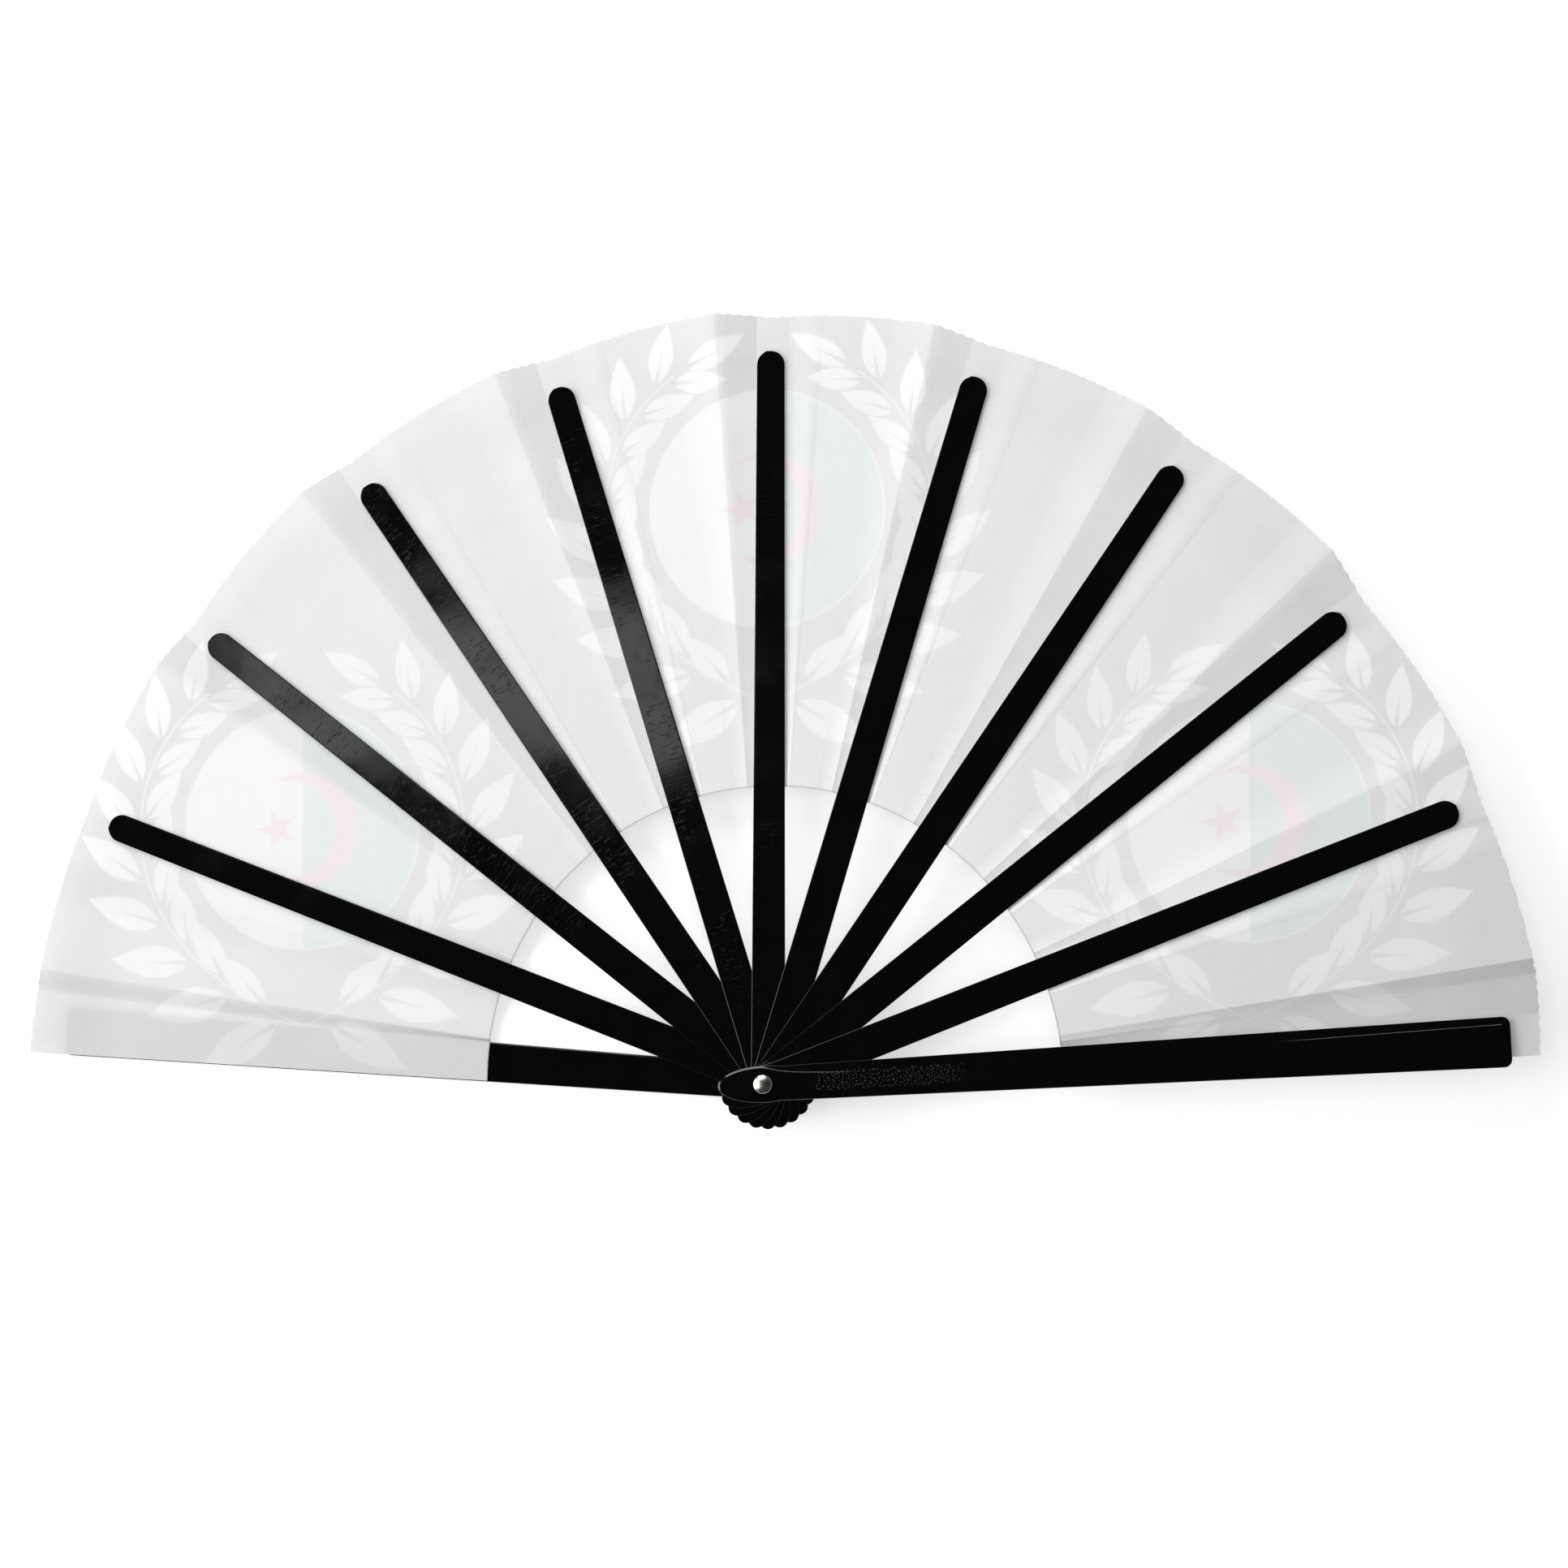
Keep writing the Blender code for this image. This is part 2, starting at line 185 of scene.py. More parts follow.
# Rear guard
# The thick outer stick of the back, injection moulded in black ABS. It lies face down, so its flat inner
# side is uppermost; the leaf's end is glued along that side, and the rivet's flat head is let into its face.
STICK_ANGLES = (-86.0, -69.0, -52.0, -34.4, -17.1, 0.2, 16.7, 34.0, 51.3, 68.5, 86.6)
LAST_STICK = len(STICK_ANGLES) - 1
STICK_LENGTH = 311 * MM
HEAD_LENGTH = 19.3 * MM
HEAD_HALF_WIDTH = 7.7 * MM
HEAD_CENTRE = 3.2 * MM
HEAD_TURN = math.pi / 2 * 1.22
GUARD_WIDTHS = (14.3 * MM, 21.0 * MM)
GUARD_THICKNESS = 3.0 * MM
GUARD_CORNER = 3.4 * MM
TIP_FLAT_LEAST = 0.5 * MM
HEAD_BOSS = 1.0 * MM
BOSS_END, BLADE_START = 34 * MM, 100 * MM
HOLE_RADIUS = 2.0 * MM
HOLE_REACH = 8.0 * MM
GUARD_BEVEL_PLACES = [-20 * MM, 0.0, 14 * MM, 32 * MM, 150 * MM, 311 * MM]
GUARD_BEVEL_WIDTHS = [0.7 * MM, 0.8 * MM, 3.0 * MM, 4.2 * MM, 4.7 * MM, 3.2 * MM]
GUARD_NARROW_BEVEL, GUARD_BEVEL_CHANGE = 0.8 * MM, 1.5 * MM
GUARD_BEVEL_DROP, GUARD_DROP_START, GUARD_DROP_RATE = 0.75 * MM, 0.35 * MM, 0.08
GUARD_LEFT_CORNER, GUARD_RIGHT_CORNER = 0.06 * MM, 0.30 * MM
CORNER_MIDDLE, CORNER_FOOT = (0.33, 0.2), 0.9
GUARD_STEP_PLACES = [30 * MM, 60 * MM, 180 * MM, 230 * MM]
GUARD_STEPS = [0.09 * MM, 0.02 * MM, 0.02 * MM, 0.09 * MM]
STEP_REACH, STEP_EASE = 0.05 * MM, 0.15
GUARD_EDGE, GUARD_EDGE_MIDDLE = 0.55 * MM, (0.08 * MM, 0.25 * MM)
FLAT_RIM, BEVEL_RIM, CORNER_RIM = (0.45 * MM, 0.20 * MM), 0.25 * MM, 0.15 * MM
REAR_RECESS = (4.3 * MM, 1.5 * MM)
GATE_ASIDE, GATE_REACH = 2.2 * MM, 0.9 * MM
HEAD_STEPS, NECK_STEPS, BLADE_STEPS, CORNER_STEPS = 34, 12, 62, 12
SHARP_ANGLE = math.radians(35)
MERGE_DISTANCE, SHORTEST_EDGE, ROUND_OFF = 0.002 * MM, 0.001 * MM, 1.0001


def half_width(along, widths):
    """Half a stick's width: it changes evenly from the first width at the pivot to the second at the tip."""
    return (widths[0] + (widths[1] - widths[0]) * along / STICK_LENGTH) / 2


def stick_outline(widths, tip_radius):
    """Closed outline of a stick along +Y, counter-clockwise from the head's end.

    The head is half an ellipse, x = HEAD_HALF_WIDTH sin t and y = -HEAD_LENGTH cos t, carried on until the
    tapered blade is wider. The blade ends in a quarter circle on each side, with a straight end between.
    """
    turn = np.linspace(0, HEAD_TURN, HEAD_STEPS)
    turn = np.sort(np.append(turn, math.acos(HOLE_REACH / HEAD_LENGTH)))
    x, y = HEAD_HALF_WIDTH * np.sin(turn), -HEAD_LENGTH * np.cos(turn)
    head = (y <= 0) | (x > half_width(y, widths))
    corner_y = STICK_LENGTH - tip_radius
    blade_y = np.linspace(HOLE_REACH, corner_y, BLADE_STEPS)[:-1]
    blade_y = np.append(np.linspace(y[head][-1], HOLE_REACH, NECK_STEPS)[1:-1], blade_y)
    quarter = np.linspace(0, math.pi / 2, CORNER_STEPS)
    corner_x = half_width(corner_y, widths) - tip_radius * (1 - np.cos(quarter))
    x = np.concatenate([x[head], half_width(blade_y, widths), corner_x])
    y = np.concatenate([y[head], blade_y, corner_y + tip_radius * np.sin(quarter)])
    if x[-1] > TIP_FLAT_LEAST:
        x, y = np.append(x, [x[-1] / 2, 0.0]), np.append(y, [STICK_LENGTH, STICK_LENGTH])
    x[0] = x[-1] = 0.0
    return np.column_stack([np.append(x, -x[-2:0:-1]), np.append(y, y[-2:0:-1])])


def stick_spine(loop, tip_radius, hole):
    """Where each outline point's section ends inside the stick: on the centre line, or on a round hole.

    Points within HOLE_REACH of the pivot go round the hole, at an angle in proportion to their y. The others
    go to the centre line, with y carried evenly from the hole to the centres of the head's end and the tip.
    """
    x, y = loop.T
    places = [-HEAD_LENGTH, -HOLE_REACH, HOLE_REACH, STICK_LENGTH]
    outer = np.interp(y, places, [HEAD_CENTRE - HEAD_LENGTH, -hole, hole, STICK_LENGTH - tip_radius])
    turn = np.clip(y / HOLE_REACH, -1, 1) * math.pi / 2
    round_hole = np.abs(y) < HOLE_REACH * ROUND_OFF
    spine_x = np.where(round_hole, np.sign(x) * hole * np.cos(turn), 0.0)
    spine_y = np.where(round_hole, hole * np.sin(turn), outer)
    return np.column_stack([spine_x, spine_y]), round_hole


def ring_faces(count, width):
    """The four corners of each face between count closed rings of width points each, as point numbers."""
    row, column = np.meshgrid(np.arange(count - 1), np.arange(width), indexing="ij")
    here, beside = row * width + column, row * width + (column + 1) % width
    return np.stack([here, here + width, beside + width, beside], -1).reshape(-1, 4)


def stick_mesh(name, loop, tip_radius, rings, recess=(HOLE_RADIUS, 0.0), nub=0.0):
    """A stick as one closed surface: a section carried round its outline.

    rings(x, y) gives the section as (inset, height) pairs, from the edge of the top face over the side to
    the edge of the underside. Each ring is the outline moved inwards by its inset. The first and the last
    ring run in to the spine, and the hole's wall joins top and bottom there. A recess is a wider hole to a
    depth under the top face. A nub is a low bump on the tip where the moulding's gate was cut off, as high
    as nub exp(-(distance / GATE_REACH)^2).
    """
    x, y = loop.T
    along = np.roll(loop, -1, 0) - np.roll(loop, 1, 0)
    inward = np.column_stack([-along[:, 1], along[:, 0]]) / np.linalg.norm(along, axis=1)[:, None]
    hole, round_hole = stick_spine(loop, tip_radius, HOLE_RADIUS)
    mouth, _ = stick_spine(loop, tip_radius, recess[0])
    layers = []
    for inset, height in rings(x, y):
        ring = loop + inward * np.broadcast_to(inset, x.shape)[:, None]
        ring[:, 0] = np.where(x >= 0, np.maximum(ring[:, 0], 0), np.minimum(ring[:, 0], 0))
        ring[:, 1] += nub * np.exp(-(np.hypot(x + GATE_ASIDE, y - STICK_LENGTH) / GATE_REACH) ** 2)
        layers.append(np.column_stack([ring, np.broadcast_to(height, x.shape)]))
    top, bottom = layers[0][:, 2], layers[-1][:, 2]
    points = np.array([np.column_stack([mouth, top]), *layers, np.column_stack([hole, bottom])])
    count, width = points.shape[:2]
    faces = ring_faces(count, width)
    points = points.reshape(-1, 3)
    wall = np.flatnonzero(round_hole & np.roll(round_hole, -1))
    needed = np.union1d(wall, (wall + 1) % width)
    rows = [needed, (count - 1) * width + needed]
    if recess[1]:
        ledge = [np.column_stack([edge, top - recess[1]])[needed] for edge in (mouth, hole)]
        rows[1:1] = [len(points) + np.arange(len(needed)), len(points) + len(needed) + np.arange(len(needed))]
        points = np.concatenate([points, *ledge])
    first, second = np.searchsorted(needed, wall), np.searchsorted(needed, (wall + 1) % width)
    for upper, lower in zip(rows, rows[1:]):
        sides = np.stack([lower[first], upper[first], upper[second], lower[second]], -1)
        faces = np.concatenate([faces, sides])
    mesh = bpy.data.meshes.new(name)
    mesh.from_pydata(points, [], faces.tolist())
    return welded(mesh)


def welded(mesh):
    """Merges doubled points, turns all faces outwards and shades the mesh smooth except at sharp edges."""
    shape = bmesh.new()
    shape.from_mesh(mesh)
    bmesh.ops.remove_doubles(shape, verts=shape.verts, dist=MERGE_DISTANCE)
    bmesh.ops.dissolve_degenerate(shape, edges=shape.edges, dist=SHORTEST_EDGE)
    bmesh.ops.recalc_face_normals(shape, faces=shape.faces)
    shape.to_mesh(mesh)
    shape.free()
    mesh.shade_smooth()
    mesh.set_sharp_from_angle(angle=SHARP_ANGLE)
    return mesh


def plan_uv(mesh):
    """Gives the mesh a UV map that holds each point's x and y in metres."""
    layer = mesh.uv_layers.new(name="plan")
    corners = np.zeros(len(mesh.loops), np.int32)
    mesh.loops.foreach_get("vertex_index", corners)
    places = np.zeros(len(mesh.vertices) * 3)
    mesh.vertices.foreach_get("co", places)
    layer.data.foreach_set("uv", places.reshape(-1, 3)[corners, :2].astype(np.float32).ravel())
    return mesh


def show(name, mesh, material, nodes, body=None):
    """Links the mesh as a piece that stands for these nodes and, if a body is named, rides on it."""
    mesh.materials.clear()
    mesh.materials.append(material)
    piece = bpy.data.objects.new(name, mesh)
    bpy.context.scene.collection.objects.link(piece)
    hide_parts(*nodes)
    if body:
        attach(piece, body)
    return piece


def underside(y, boss):
    """Height of a stick's underside: the head's boss hangs below the blade and tapers off evenly."""
    return -boss * np.clip((BLADE_START - y) / (BLADE_START - BOSS_END), 0, 1)


def guard_rings(x, y):
    """A guard's section: a flat face, a fine step, a sloping bevel, an upright side and a rounded lower edge.

    The bevel is wide on the left and narrow on the right. It drops by GUARD_DROP_START and
    GUARD_DROP_RATE of its width, at most GUARD_BEVEL_DROP, and ends in a small rounded corner. A ring one
    rim's width inside an edge keeps the surface beyond it shaded flat.
    """
    wide = np.interp(y, GUARD_BEVEL_PLACES, GUARD_BEVEL_WIDTHS)
    left = np.clip((GUARD_BEVEL_CHANGE - x) / (2 * GUARD_BEVEL_CHANGE), 0, 1)
    bevel = GUARD_NARROW_BEVEL + (wide - GUARD_NARROW_BEVEL) * left
    drop = np.clip(GUARD_DROP_START + GUARD_DROP_RATE * bevel, 0, GUARD_BEVEL_DROP)
    step = np.interp(y, GUARD_STEP_PLACES, GUARD_STEPS)
    slope = (drop - step) / bevel
    corner = GUARD_RIGHT_CORNER + (GUARD_LEFT_CORNER - GUARD_RIGHT_CORNER) * left
    face, side, back = GUARD_THICKNESS, GUARD_THICKNESS - drop, underside(y, HEAD_BOSS)
    short, long = GUARD_EDGE_MIDDLE
    return [
        *((bevel + rim, face) for rim in FLAT_RIM),
        (bevel + STEP_REACH, face - STEP_EASE * step),
        (bevel - STEP_REACH, face - step),
        (bevel - BEVEL_RIM, face - step - slope * BEVEL_RIM),
        (corner + CORNER_RIM, side + slope * (corner + CORNER_RIM)),
        (corner, side + slope * corner),
        (corner * CORNER_MIDDLE[0], side - corner * CORNER_MIDDLE[1]),
        (0.0, side - corner * CORNER_FOOT),
        (0.0, back + GUARD_EDGE),
        (short, back + long),
        (long, back + short),
        (GUARD_EDGE, back),
        (GUARD_EDGE + BEVEL_RIM, back),
    ]


def mark_outer_face(mesh):
    """Gives a guard's mesh the attribute "outer_face": 1 in the upper half of its thickness and 0 below."""
    places = np.zeros(len(mesh.vertices) * 3)
    mesh.vertices.foreach_get("co", places)
    face = mesh.attributes.new("outer_face", "FLOAT", "POINT")
    face.data.foreach_set("value", (places[2::3] > GUARD_THICKNESS / 2).astype(np.float32))
    return mesh


def put(mesh, angle, height, turned_over=False):
    """Sets a stick's mesh in place: turned over if it lies on its face, turned by its angle and raised."""
    if turned_over:
        mesh.transform(Matrix.Rotation(math.pi, 4, "Y"))
    mesh.transform(Matrix.Translation((0, 0, height)) @ Matrix.Rotation(-math.radians(angle), 4, "Z"))
    return mesh


# Black ABS, moulded in a polished tool: deep black with a clear gloss, faint sink waves along the blade that
# bend what it reflects, handling scuffs across it, and finger smudges that dull it in patches. A texture's
# pair of values is the noise's detail, in octaves, and how much each finer octave adds.
PLASTIC_COLOUR = "#030303"
PLASTIC_IOR = 1.50
PLASTIC_ROUGHNESS = (0.06, 0.14)
SMUDGE_SPACING, SMUDGE_TEXTURE, SMUDGE_CUT = 28 * MM, (3.0, 0.6), (0.45, 0.75)
WAVE_SPACING, WAVE_TEXTURE, WAVE_DEPTH = 36 * MM, (1.0, 0.4), 0.14 * MM
SCUFF_SPACING, SCUFF_TEXTURE, SCUFF_CUT = 1.1 * MM, (3.0, 0.6), (0.58, 0.66)
SCUFF_STRETCH, SCUFF_DEPTH = 0.22, 0.007 * MM
WORN_SPACING, WORN_TEXTURE, WORN_CUT = 22 * MM, (1.0, 0.5), (0.46, 0.60)
GRAIN_SPACING, GRAIN_RADIUS, GRAIN_HEIGHT = 1.2 * MM, 0.20 * MM, 0.10 * MM
GRAIN_EDGE = 0.8 * MM
GRAIN_START, GRAIN_END, GRAIN_FADE, GRAIN_HALF_WIDTH = 22 * MM, 100 * MM, 26 * MM, 4.4 * MM


def black_plastic(name, grained):
    """Black ABS for the sticks. A guard's has a grip of fine separate dots on its outer face alone.

    Each dot is a low cone, and the scuffs are the ridges of a noise that is drawn out across the stick.
    """
    material, tree = new_material(name)
    place = add(tree, "UVMap", uv_map="plan")
    waves = add(tree, "TexNoise", place, 1 / WAVE_SPACING, *WAVE_TEXTURE)
    across = add(tree, "Mapping", place, (0, 0, 0), (0, 0, 0), (SCUFF_STRETCH, 1, 1))
    scuffs = add(tree, "TexNoise", across, 1 / SCUFF_SPACING, *SCUFF_TEXTURE)
    scuffs = add(tree, "MapRange", scuffs, *SCUFF_CUT, 0.0, 1.0)
    patches = add(tree, "TexNoise", place, 1 / SMUDGE_SPACING, *SMUDGE_TEXTURE)
    worn = add(tree, "TexCoord").node.outputs["Object"]
    worn = add(tree, "TexNoise", worn, 1 / WORN_SPACING, *WORN_TEXTURE)
    worn = add(tree, "MapRange", worn, *WORN_CUT, 0.0, 1.0)
    scuffs = add(tree, MATH, scuffs, worn, operation="MULTIPLY")
    normal = add(tree, "Bump", 1.0, WAVE_DEPTH, None, waves)
    normal = add(tree, "Bump", 1.0, SCUFF_DEPTH, None, scuffs, normal)
    if grained:
        aside, along, _ = add(tree, "SeparateXYZ", place).node.outputs
        start = add(tree, "MapRange", along, GRAIN_START, GRAIN_START + GRAIN_EDGE, 0, 1)
        end = add(tree, "MapRange", along, GRAIN_END, GRAIN_END - GRAIN_FADE, 0, 1)
        aside = add(tree, MATH, aside, operation="ABSOLUTE")
        middle = add(tree, "MapRange", aside, GRAIN_HALF_WIDTH, GRAIN_HALF_WIDTH - GRAIN_EDGE, 0, 1)
        outer = add(tree, "Attribute", attribute_name="outer_face").node.outputs["Fac"]
        dots = add(tree, "TexVoronoi", place, 1 / GRAIN_SPACING, voronoi_dimensions="2D")
        dots = add(tree, "MapRange", dots, 0.0, GRAIN_RADIUS / GRAIN_SPACING, 1.0, 0.0)
        for limit in (start, end, middle, outer):
            dots = add(tree, MATH, dots, limit, operation="MULTIPLY")
        normal = add(tree, "Bump", 1.0, GRAIN_HEIGHT, None, dots, normal)
    gloss = {"Base Color": linear(PLASTIC_COLOUR), "IOR": PLASTIC_IOR, "Normal": normal}
    gloss["Roughness"] = add(tree, "MapRange", patches, *SMUDGE_CUT, *PLASTIC_ROUGHNESS)
    add(tree, "OutputMaterial", add(tree, "BsdfPrincipled", sockets=gloss))
    return material


guard_plastic = black_plastic("black_abs_grained", grained=True)
guard_loop = stick_outline(GUARD_WIDTHS, GUARD_CORNER)
rear_guard = stick_mesh("rear_guard_stick", guard_loop, GUARD_CORNER, guard_rings, REAR_RECESS)
put(mark_outer_face(plan_uv(rear_guard)), STICK_ANGLES[0], GUARD_THICKNESS, turned_over=True)
show("rear_guard_stick", rear_guard, guard_plastic, ["rear_guard"], "rear")

# Ribs
# Nine thin blades from one mould in the same plastic, glued along the back of the leaf from their middle to
# their round tips. Each head is thicker than its blade, so that the stack leaves room for the folded cloth.
RIB_WIDTHS = (14.5 * MM, 11.8 * MM)
RIB_THICKNESS = 1.2 * MM
STACK_PITCH = 2.5 * MM
FIRST_RIB_HEIGHT = 5.3 * MM
RIB_SHOULDER, RIB_SHOULDER_DROP = 0.28 * MM, 0.20 * MM
RIB_UNDER_EDGE = 0.3 * MM
RIB_SHOULDER_STEPS, RIB_UNDER_STEPS = 8, 4
GATE_NUB = 0.35 * MM


def rib_height(number):
    """Height of the underside of a rib's blade: each rib lies one pitch above the one before."""
    return FIRST_RIB_HEIGHT + (number - 1) * STACK_PITCH


def rib_rings(x, y):
    """A rib's section: each upper edge is a quarter of an ellipse, each lower edge a small quarter circle."""
    face, back = RIB_THICKNESS, underside(y, HEAD_BOSS)
    upper = np.linspace(math.pi / 2, 0, RIB_SHOULDER_STEPS)
    lower = np.linspace(0, math.pi / 2, RIB_UNDER_STEPS)
    shoulder = [
        (RIB_SHOULDER * (1 - math.cos(t)), face - RIB_SHOULDER_DROP * (1 - math.sin(t))) for t in upper
    ]
    below = [
        (RIB_UNDER_EDGE * (1 - math.cos(t)), back + RIB_UNDER_EDGE * (1 - math.sin(t))) for t in lower
    ]
    return [(RIB_SHOULDER + BEVEL_RIM, face), *shoulder, *below, (RIB_UNDER_EDGE + BEVEL_RIM, back)]


rib_plastic = black_plastic("black_abs_polished", grained=False)
RIB_TIP = half_width(STICK_LENGTH, RIB_WIDTHS)
rib_loop = stick_outline(RIB_WIDTHS, RIB_TIP)
for number in range(1, LAST_STICK):
    name, node = f"rib_blade_{number}", f"rib_{number}"
    rib = plan_uv(stick_mesh(name, rib_loop, RIB_TIP, rib_rings, nub=GATE_NUB))
    show(name, put(rib, STICK_ANGLES[number], rib_height(number)), rib_plastic, [node], node)

# Front guard
# The same moulding as the rear guard, lying face up on top of the stack. The leaf's other end is glued under
# it, and the rivet's domed cap sits on its head.
FRONT_GUARD_HEIGHT = 27.8 * MM

front_guard = plan_uv(stick_mesh("front_guard_stick", guard_loop, GUARD_CORNER, guard_rings))
put(mark_outer_face(front_guard), STICK_ANGLES[LAST_STICK], FRONT_GUARD_HEIGHT)
show("front_guard_stick", front_guard, guard_plastic, ["front_guard"], "front")

# Rivet
# A nickel-plated steel rivet in two parts: a post with a flat head let into the rear guard's face, and a
# domed cap pressed over the post's other end.
RIVET_SEAT = 31.1 * MM
CAP_RADIUS, CAP_HEIGHT = 4.0 * MM, 2.2 * MM
CAP_ROLL = 0.6 * MM
ROLL_STEPS, DOME_STEPS = 14, 18
POST_HEAD_RADIUS, POST_HEAD_HEIGHT = 4.0 * MM, 1.2 * MM
POST_RADIUS, POST_TOP = 1.7 * MM, 31.8 * MM
POST_CLEARANCE = 0.15 * MM
POST_HEAD_ROUND, POST_HEAD_MIDDLE, POST_HEAD_CHAMFER = 0.3 * MM, 0.08 * MM, 0.1 * MM
POST_CHAMFER = 0.2 * MM
RIVET_TURNS = 64


def turned_mesh(name, profile):
    """A surface of revolution round the pivot: the profile's (radius, height) points carried round it."""
    radius, height = np.array(profile).T
    turn = np.linspace(0, 2 * math.pi, RIVET_TURNS, endpoint=False)
    x, y = radius[:, None] * np.cos(turn), radius[:, None] * np.sin(turn)
    points = np.stack([x, y, np.broadcast_to(height[:, None], x.shape)], -1)
    mesh = bpy.data.meshes.new(name)
    mesh.from_pydata(points.reshape(-1, 3), [], ring_faces(*points.shape[:2]).tolist())
    return plan_uv(welded(mesh))


# Nickel-plated steel, barrel polished: warm grey, with soft dents, fine scratches and a little dulling.
STEEL_COLOUR = "#CFCBC4"
STEEL_ROUGHNESS, DULL_CUT = (0.20, 0.36), (0.3, 0.7)
DENT_SPACING, DENT_TEXTURE, DENT_DEPTH = 2.6 * MM, (2.0, 0.5), 0.05 * MM
SCRATCH_SPACING, SCRATCH_TEXTURE, SCRATCH_DEPTH = 0.25 * MM, (3.0, 0.7), 0.004 * MM
steel, tree = new_material("nickel_plated_steel")
place = add(tree, "UVMap", uv_map="plan")
dents = add(tree, "TexNoise", place, 1 / DENT_SPACING, *DENT_TEXTURE)
scratches = add(tree, "TexNoise", place, 1 / SCRATCH_SPACING, *SCRATCH_TEXTURE)
normal = add(tree, "Bump", 1.0, DENT_DEPTH, None, dents)
normal = add(tree, "Bump", 1.0, SCRATCH_DEPTH, None, scratches, normal)
gloss = {"Base Color": linear(STEEL_COLOUR), "Metallic": 1.0, "Normal": normal}
gloss["Roughness"] = add(tree, "MapRange", dents, *DULL_CUT, *STEEL_ROUGHNESS)
add(tree, "OutputMaterial", add(tree, "BsdfPrincipled", sockets=gloss))

# The cap is a hollow cup over the post's end: its edge is rolled under, from straight down to the slope of
# the dome, and the dome is an arc that spans twice that slope.
dome_slope = 2 * math.atan((CAP_HEIGHT - 2 * CAP_ROLL) / (CAP_RADIUS - CAP_ROLL))
roll = np.linspace(-math.pi / 2, math.pi / 2 - dome_slope, ROLL_STEPS)
cap_radii = CAP_RADIUS - CAP_ROLL + CAP_ROLL * np.cos(roll)
cap_heights = RIVET_SEAT + CAP_ROLL * (1 + np.sin(roll))
slopes = np.linspace(dome_slope, 0, DOME_STEPS)[1:]
dome_radius = cap_radii[-1] / math.sin(dome_slope)
dome_heights = cap_heights[-1] + dome_radius * (np.cos(slopes) - math.cos(dome_slope))
inside = POST_RADIUS + POST_CLEARANCE
cap_profile = [(0.0, POST_TOP + POST_CLEARANCE), (inside, POST_TOP + POST_CLEARANCE), (inside, RIVET_SEAT)]
cap_profile += list(zip(cap_radii, cap_heights)) + list(zip(dome_radius * np.sin(slopes), dome_heights))
cap = turned_mesh("rivet_dome", cap_profile)
show("rivet_dome", cap, steel, ["rivet_cap"], "rear")

# The post's head is rounded below and chamfered above, and the shank's end is chamfered too.
rim, top = POST_HEAD_RADIUS, POST_HEAD_HEIGHT
post_profile = [(0.0, 0.0), (rim - POST_HEAD_ROUND, 0.0), (rim - POST_HEAD_MIDDLE, POST_HEAD_MIDDLE)]
post_profile += [(rim, POST_HEAD_ROUND), (rim, top - POST_HEAD_CHAMFER), (rim - POST_HEAD_CHAMFER, top)]
post_profile += [(POST_RADIUS, top), (POST_RADIUS, POST_TOP - POST_CHAMFER)]
post_profile += [(POST_RADIUS - POST_CHAMFER, POST_TOP), (0.0, POST_TOP)]
post = turned_mesh("rivet_shank", post_profile)
show("rivet_shank", post, steel, ["rivet_post"], "rear")

# Leaf
# One sheet of thin white polyester, printed on its far side, so that the print shows only faintly here. It
# is glued under every stick and pleated between them; each pleat here runs from one fold that stands up to
# the next, with the fold beside its stick in between.
CLOTH_THICKNESS = 0.2 * MM
LEAF_RADIUS = 324 * MM
GLUE_GAP, GLUE_MARGIN = 0.12 * MM, 0.3 * MM
GUARD_FOLD_SHARE, RIB_FOLD_SHARE = 0.27, 0.25
FOLD_RISE = 1.6 * MM
RIDGE_RISE = 1.0 * MM
RIDGE_START = 0.62
CREASE_START, CREASE_SLOPE = 150 * MM, 0.012
CREASE_STRENGTHS = (1.0, 2.6, 1.6, 1.3, 1.4, 0.8, 0.5, 1.0, 0.4)
CREASE_FOOT = 0.7
RIDGE_SOFTNESS = 0.25
FRONT_CREASE_START, FRONT_CREASE_SLOPE = 70 * MM, 0.0225
FRONT_BAND_START, FRONT_BAND_SLOPE, FRONT_BAND_SHARE = 75 * MM, 0.0105, 0.878
FRONT_LEAN = 0.10
REAR_BAND, REAR_BAND_SLOPE = math.radians(1.6), 0.0056
STREAK_FALL = 0.9 * MM
END_MARGIN, END_REACH = 0.7 * MM, 6.3 * MM
SEAM_OVERLAP = 0.03 * MM
# The leaf's edges, read off the photo: the outer one's radius in millimetres at the leaf's ends, at every
# rib and at every standing fold, and the inner one's at four places.
EDGE_ANGLES = (-88.2, -72.9, -69, -56.2, -52, -38.8, -34.4, -21.4, -17.1, -4.1, 0.2)
EDGE_ANGLES += (12.6, 16.7, 29.7, 34, 47, 51.3, 64.2, 68.5, 81.7, 88)
EDGE_RADII = (326.8, 323.0, 322.4, 323.9, 320.9, 326.3, 323.4, 326.5, 323.5, 328.4, 325.4)
EDGE_RADII += (328.6, 325.4, 326.2, 323.3, 325.9, 321.3, 323.5, 320.9, 324.0, 322.4)
INNER_ANGLES, INNER_RADII = (-90, -60, 10, 90), (123.5, 123.7, 126.0, 125.8)
FRAY_SPACING, FRAY_REACH = 4.6 * MM, 0.3 * MM
CLOTH_ROWS = 56
CLOTH_COLUMNS = (14, 6, 6, 10, 14, 12)
NEXT_RIDGE = len(CLOTH_COLUMNS) - 1


